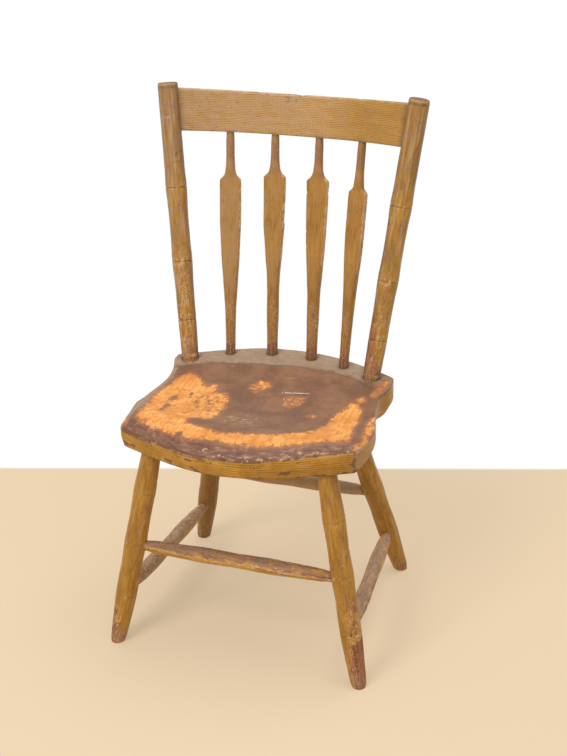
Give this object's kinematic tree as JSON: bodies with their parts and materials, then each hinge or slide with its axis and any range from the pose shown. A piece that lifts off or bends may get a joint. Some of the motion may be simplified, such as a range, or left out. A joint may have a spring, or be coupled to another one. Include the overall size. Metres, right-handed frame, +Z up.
{
  "type": "side chair",
  "caption": "Wooden side chair with a shaped plank seat, raked turned legs and stretchers, leaning posts, bowed crest rail and arrow spindles, in worn old paint.",
  "frame": {"origin": "on the floor, under the middle of the chair's bounding box", "axes": "+X to the viewer's right when facing the chair's front, +Y from the front edge of the seat toward the back rest, +Z up"},
  "size_m": [0.4524, 0.4168, 0.8605],
  "materials": {
    "seat": "worn dark brown paint over bare orange pine",
    "crest_rail": "old ochre paint combed to look like wood grain",
    "post_left": "old ochre paint with pale chips",
    "post_right": "old ochre paint with pale chips",
    "spindle_outer_left": "old ochre paint, worn at the edges and feet",
    "spindle_inner_left": "old ochre paint, worn at the edges and feet",
    "spindle_inner_right": "old ochre paint, worn at the edges and feet",
    "spindle_outer_right": "old ochre paint, worn at the edges and feet",
    "leg_front_left": "old mustard paint, worn to brown at the feet",
    "leg_front_right": "old mustard paint, worn to brown at the feet",
    "leg_rear_left": "old mustard paint, worn to brown at the feet",
    "leg_rear_right": "old mustard paint, worn to brown at the feet",
    "stretcher_front": "old mustard paint, dusty brown and rubbed on top",
    "stretcher_rear": "old mustard paint, dusty brown and rubbed on top",
    "stretcher_left": "old mustard paint, dusty brown and rubbed on top",
    "stretcher_right": "old mustard paint, dusty brown and rubbed on top"
  },
  "bodies": {
    "root": {"seat": "seat", "crest_rail": "crest_rail", "post_left": "post_left", "post_right": "post_right", "spindle_outer_left": "spindle_outer_left", "spindle_inner_left": "spindle_inner_left", "spindle_inner_right": "spindle_inner_right", "spindle_outer_right": "spindle_outer_right", "leg_front_left": "leg_front_left", "leg_front_right": "leg_front_right", "leg_rear_left": "leg_rear_left", "leg_rear_right": "leg_rear_right", "stretcher_front": "stretcher_front", "stretcher_rear": "stretcher_rear", "stretcher_left": "stretcher_left", "stretcher_right": "stretcher_right"}
  },
  "joints": []
}
